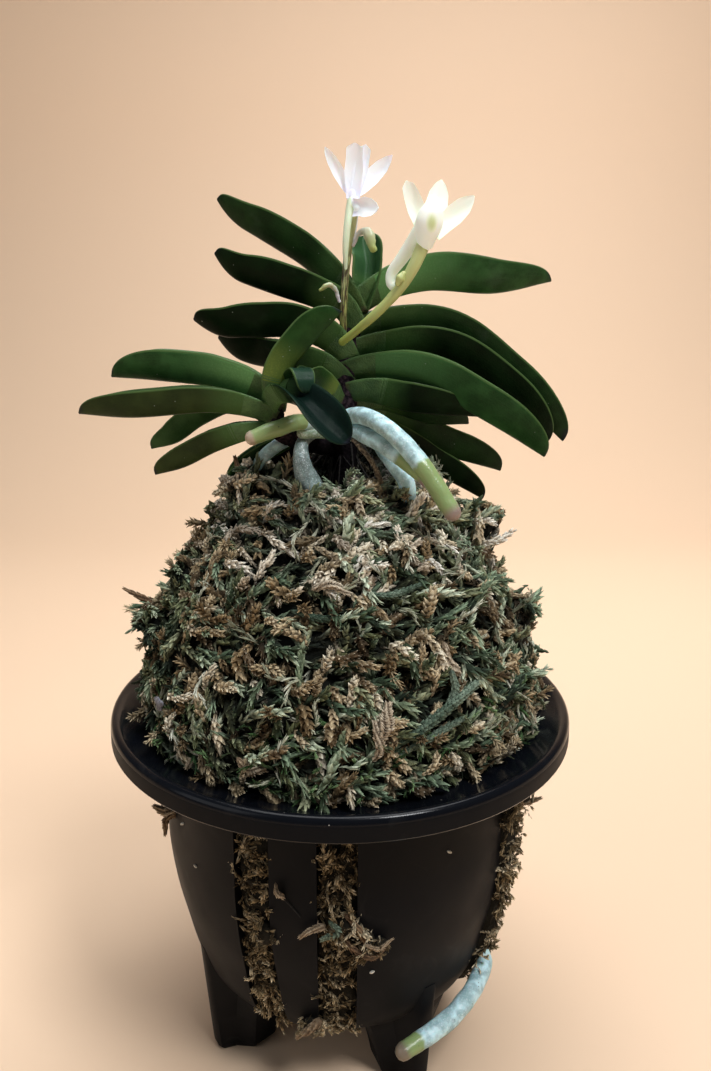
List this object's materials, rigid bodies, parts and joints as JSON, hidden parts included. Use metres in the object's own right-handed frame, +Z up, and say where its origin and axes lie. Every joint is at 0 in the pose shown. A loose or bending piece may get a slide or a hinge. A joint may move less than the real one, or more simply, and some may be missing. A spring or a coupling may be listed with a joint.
{
  "type": "potted orchid",
  "caption": "Small wind orchid in flower on a tall mound of dried moss, with folded leaves in a fan, thick aerial roots and a slotted black pot on legs",
  "frame": {"origin": "middle of the bounding box's underside, at the ground under the pot", "axes": "+Z up, -Y towards the viewer who sees the leaf fan spread to both sides along X"},
  "size_m": [0.1056, 0.105, 0.2022],
  "materials": {
    "pot": "satin moulded plastic, glossy on the lip",
    "moss": "matt dried fibre",
    "stem": "matt, finely grained",
    "leaf": "satin",
    "root": "smooth, matt",
    "root_dry": "matt",
    "stalk_streaked": "satin",
    "stalk_pale": "satin",
    "petals_white": "velvety, slightly translucent",
    "petals_cream": "velvety, slightly translucent",
    "withered": "matt, papery"
  },
  "bodies": {
    "root": {"pot": "pot", "stem": "stem", "stalk_streaked": "stalk_streaked", "stalk_pale": "stalk_pale", "flower_white": "petals_white", "flower_cream": "petals_cream", "withered_upper": "withered", "withered_lower": "withered", "root_left": "root", "root_front_1": "root", "root_front_2": "root", "root_flared": "root", "root_stub": "root", "root_back": "root", "root_dry": "root_dry", "root_pale": "root", "root_hanging": "root", "leaf_right_4": "leaf", "leaf_right_3": "leaf", "leaf_right_2": "leaf", "leaf_right_1": "leaf", "leaf_right_5": "leaf", "leaf_right_6": "leaf", "leaf_right_7": "leaf", "leaf_right_8": "leaf", "leaf_left_1": "leaf", "leaf_left_2": "leaf", "leaf_left_3": "leaf", "leaf_left_4": "leaf", "leaf_left_5": "leaf", "leaf_centre": "leaf", "leaf_low": "leaf", "shoot_front": "leaf", "shoot_up": "leaf", "shoot_small": "leaf", "shoot_left_1": "leaf", "shoot_left_2": "leaf", "shoot_left_3": "leaf", "shoot_left_4": "leaf", "moss": "moss"}
  },
  "joints": []
}
